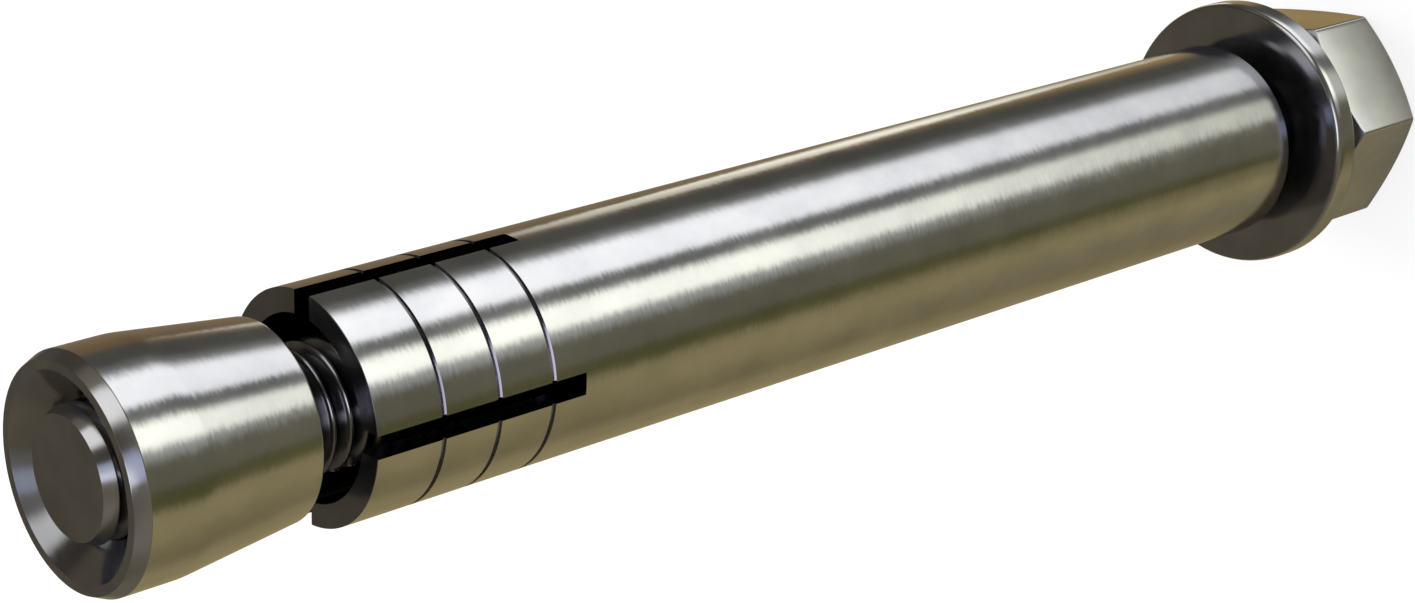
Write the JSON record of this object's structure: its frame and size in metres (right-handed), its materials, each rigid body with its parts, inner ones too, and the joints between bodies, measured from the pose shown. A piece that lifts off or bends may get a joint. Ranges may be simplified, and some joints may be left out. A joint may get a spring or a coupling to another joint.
{
  "type": "expansion anchor",
  "caption": "Hex bolt with washer, slotted expansion sleeve and taper cone nut: tightening draws the cone into the sleeve so that it grips a drilled hole.",
  "frame": {"origin": "centre of the hexagon head's outer face, on which the anchor stands", "axes": "+Z along the bolt from the head to the cone nut; +X through one of the sleeve's slots"},
  "size_m": [0.025, 0.025, 0.1421],
  "materials": {
    "bolt_steel": "bright zinc plated, forged and rolled",
    "washer_steel": "bright zinc plated, stamped",
    "sleeve_steel": "bright zinc plated, turned and lightly brushed",
    "cone_steel": "bright zinc plated, turned"
  },
  "bodies": {
    "bolt": {"hex_bolt": "bolt_steel"},
    "washer": {"flat_washer": "washer_steel"},
    "sleeve": {"expansion_sleeve": "sleeve_steel"},
    "cone": {"cone_nut": "cone_steel"}
  },
  "joints": [
    {"name": "washer_slide", "type": "slide", "parent": "bolt", "child": "washer", "axis": [0, 0, 1], "range_m": [-0.0026, 0.0026]},
    {"name": "bolt_turn", "type": "hinge", "parent": "bolt", "child": "sleeve", "pos_m": [0, 0, 0.0176], "axis": [0, 0, -1], "range_deg": [0, 816]},
    {"name": "cone_draw", "type": "slide", "parent": "sleeve", "child": "cone", "axis": [0, 0, -1], "range_m": [0, 0.0034]}
  ],
  "couplings": [
    {"joint": "cone_draw", "follows": "bolt_turn", "m_per_rad": 0.00023873}
  ]
}
